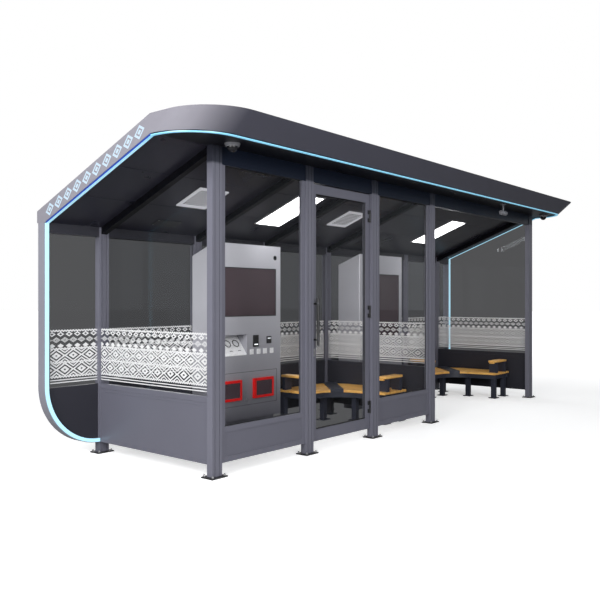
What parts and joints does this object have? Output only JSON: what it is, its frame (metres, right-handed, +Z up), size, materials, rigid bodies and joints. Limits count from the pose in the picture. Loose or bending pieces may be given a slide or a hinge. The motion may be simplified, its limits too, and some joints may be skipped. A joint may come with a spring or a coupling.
{
  "type": "bus shelter",
  "caption": "Pitched-roof bus shelter: a glazed waiting room with a hinged door beside an open bay, with corner benches, kiosks, ceiling lights and a lit roof edge.",
  "frame": {"origin": "on the ground under the middle of the roof", "axes": "+X along the shelter towards the open bay, -Y towards the street, +Z up"},
  "size_m": [7.154, 2.187, 2.765],
  "materials": {
    "clear_glass": "clear",
    "dark_roof_sheet": "satin",
    "ceiling_board": "satin",
    "lit_plastic": "gloss",
    "kiosk_steel": "satin",
    "dark_screen": "gloss",
    "red_metal": "gloss",
    "oiled_wood": "satin",
    "white_metal": "satin",
    "black_plastic": "matte",
    "dark_grey_paint": "satin"
  },
  "bodies": {
    "shelter": {"back_glass": "clear_glass", "back_lintels": "dark_grey_paint", "back_panels": "dark_grey_paint", "back_posts": "dark_grey_paint", "cameras": "black_plastic", "ceiling": "ceiling_board", "ceiling_cover_plates": "black_plastic", "ceiling_lights": "lit_plastic", "ceiling_vents": "white_metal", "emergency_boxes": "red_metal", "end_rims": "dark_grey_paint", "foot_plates": "dark_grey_paint", "front_lintels": "dark_grey_paint", "front_post_1": "dark_grey_paint", "front_post_2": "dark_grey_paint", "front_post_3": "dark_grey_paint", "front_post_4": "dark_grey_paint", "front_post_5": "dark_grey_paint", "kiosk_screens": "dark_screen", "left_bay_frame": "dark_grey_paint", "left_bay_glass": "clear_glass", "left_bay_kick_panel": "dark_grey_paint", "left_kiosk": "kiosk_steel", "left_wall_glass": "clear_glass", "left_wall_panel": "dark_grey_paint", "light_strip": "lit_plastic", "open_bay_bench_arm_posts": "dark_grey_paint", "open_bay_bench_arm_rests": "oiled_wood", "open_bay_bench_boards": "oiled_wood", "open_bay_bench_frame": "dark_grey_paint", "partition_glass": "clear_glass", "partition_panel": "dark_grey_paint", "post_hinge_halves": "dark_grey_paint", "rafters": "dark_grey_paint", "right_bay_frame": "dark_grey_paint", "right_bay_glass": "clear_glass", "right_bay_kick_panel": "dark_grey_paint", "right_kiosk": "kiosk_steel", "right_wall_glass": "clear_glass", "right_wall_panel": "dark_grey_paint", "roof_shell": "dark_roof_sheet", "room_bench_arm_posts": "dark_grey_paint", "room_bench_arm_rests": "oiled_wood", "room_bench_boards": "oiled_wood", "room_bench_frame": "dark_grey_paint"},
    "door": {"door_leaf": "dark_grey_paint", "door_glass": "clear_glass", "door_handles": "black_plastic", "door_hinge_halves": "dark_grey_paint"}
  },
  "joints": [
    {"name": "door_hinge", "type": "hinge", "parent": "shelter", "child": "door", "pos_m": [-0.835, -0.5075, 0], "axis": [0, 0, 1], "range_deg": [0, 90]}
  ]
}
